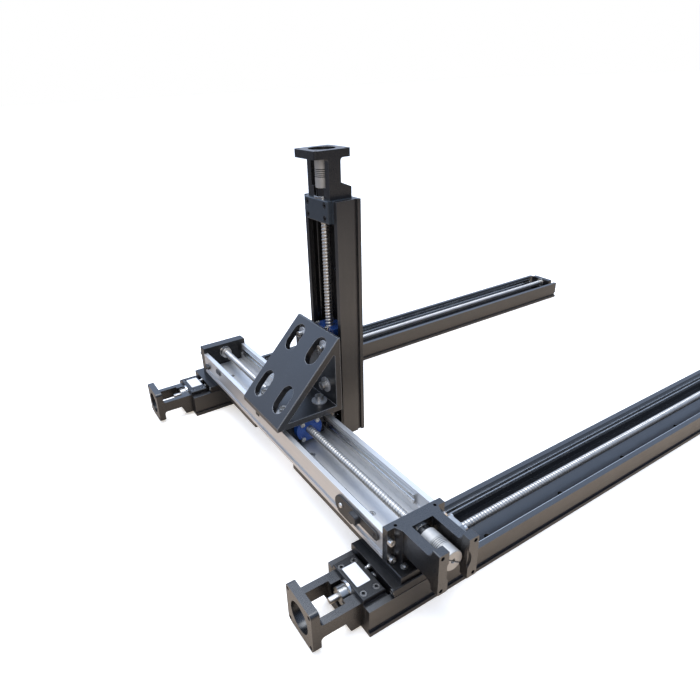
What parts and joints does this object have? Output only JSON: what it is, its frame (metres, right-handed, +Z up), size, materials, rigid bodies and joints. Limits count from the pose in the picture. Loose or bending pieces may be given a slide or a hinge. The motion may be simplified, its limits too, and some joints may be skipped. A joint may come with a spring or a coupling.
{
  "type": "three-axis linear gantry",
  "caption": "Gantry of ball screw modules: a cross module rides on parallel base modules and a triangular bracket on its saddle carries an upright column module.",
  "frame": {"origin": "middle of the footprint, on the surface that the base modules stand on", "axes": "+X along the base modules away from their motors, +Y from the near base module to the far one, +Z up"},
  "size_m": [1.095, 0.6866, 0.486],
  "materials": {
    "black_anodised": "black anodised, matt",
    "silver_anodised": "clear anodised, matt",
    "ground_steel": "ground",
    "screw_steel": "rolled thread, oiled",
    "bearing_steel": "polished",
    "black_oxide": "black oxide",
    "nut_finish": "ground",
    "blue_nut": "blue coating",
    "coupling_alloy": "turned, clear anodised",
    "bright_steel": "zinc plated",
    "strip_paint": "black paint",
    "switch_plastic": "moulded"
  },
  "bodies": {
    "base": {"near_base_profile": "black_anodised", "near_base_left_rail": "ground_steel", "near_base_right_rail": "ground_steel", "near_base_bearing_block": "black_anodised", "near_base_motor_mount": "black_anodised", "near_base_end_block": "black_anodised", "far_base_profile": "black_anodised", "far_base_left_rail": "ground_steel", "far_base_right_rail": "ground_steel", "far_base_bearing_block": "black_anodised", "far_base_motor_mount": "black_anodised", "far_base_end_block": "black_anodised", "base_fixed_bearings": "bearing_steel", "base_end_bearings": "bearing_steel", "base_block_screws": "bright_steel"},
    "near_screw": {"near_base_screw": "screw_steel", "near_base_lock_nut": "black_oxide"},
    "far_screw": {"far_base_screw": "screw_steel", "far_base_lock_nut": "black_oxide"},
    "gantry": {"near_base_ball_nut": "nut_finish", "near_base_saddle": "black_anodised", "far_base_ball_nut": "nut_finish", "far_base_saddle": "black_anodised", "near_adapter_plate": "black_anodised", "far_adapter_plate": "black_anodised", "cross_profile": "silver_anodised", "cross_left_rail": "ground_steel", "cross_right_rail": "ground_steel", "cross_motor_bracket": "black_anodised", "cross_bearing": "bearing_steel", "cross_end_plate": "black_anodised", "cross_end_bearing": "bearing_steel", "cross_limit_strip": "strip_paint", "cross_limit_switches": "switch_plastic", "cross_module_screws": "bright_steel"},
    "cross_screw": {"cross_screw": "screw_steel", "cross_lock_nut": "black_oxide", "cross_coupling": "coupling_alloy", "cross_end_nut": "bright_steel"},
    "carriage": {"cross_ball_nut": "blue_nut", "cross_saddle": "black_anodised", "cross_limit_flag": "strip_paint", "bracket": "black_anodised", "bracket_screws": "bright_steel", "bracket_washers": "bright_steel", "column_saddle": "black_anodised", "column_ball_nut": "blue_nut", "carriage_nut_screws": "bright_steel"},
    "column": {"column_profile": "black_anodised", "column_left_rail": "ground_steel", "column_right_rail": "ground_steel", "column_bearing_block": "black_anodised", "column_motor_mount": "black_anodised", "column_bearing": "bearing_steel", "column_end_block": "black_anodised", "column_end_bearing": "bearing_steel", "column_block_screws": "bright_steel"},
    "column_screw": {"column_screw": "screw_steel", "column_lock_nut": "black_oxide", "column_coupling": "coupling_alloy"}
  },
  "joints": [
    {"name": "gantry_slide", "type": "slide", "parent": "base", "child": "gantry", "axis": [1, 0, 0], "range_m": [0, 0.84]},
    {"name": "carriage_slide", "type": "slide", "parent": "gantry", "child": "carriage", "axis": [0, 1, 0], "range_m": [-0.19, 0.18]},
    {"name": "column_slide", "type": "slide", "parent": "carriage", "child": "column", "axis": [0, 0, 1], "range_m": [-0.045, 0.07]},
    {"name": "near_screw_spin", "type": "hinge", "parent": "base", "child": "near_screw", "pos_m": [-0.4825, -0.26035, 0.032], "axis": [1, 0, 0], "continuous": true},
    {"name": "far_screw_spin", "type": "hinge", "parent": "base", "child": "far_screw", "pos_m": [-0.4825, 0.29965, 0.032], "axis": [1, 0, 0], "continuous": true},
    {"name": "cross_screw_spin", "type": "hinge", "parent": "gantry", "child": "cross_screw", "pos_m": [-0.393, -0.26035, 0.092], "axis": [0, 1, 0], "continuous": true},
    {"name": "column_screw_spin", "type": "hinge", "parent": "column", "child": "column_screw", "pos_m": [-0.319, 0.02465, 0.421], "axis": [0, 0, 1], "continuous": true}
  ],
  "couplings": [
    {"joint": "near_screw_spin", "follows": "gantry_slide", "rad_per_m": -1256.6},
    {"joint": "far_screw_spin", "follows": "gantry_slide", "rad_per_m": -1256.6},
    {"joint": "cross_screw_spin", "follows": "carriage_slide", "rad_per_m": -1256.6},
    {"joint": "column_screw_spin", "follows": "column_slide", "rad_per_m": 1256.6}
  ]
}
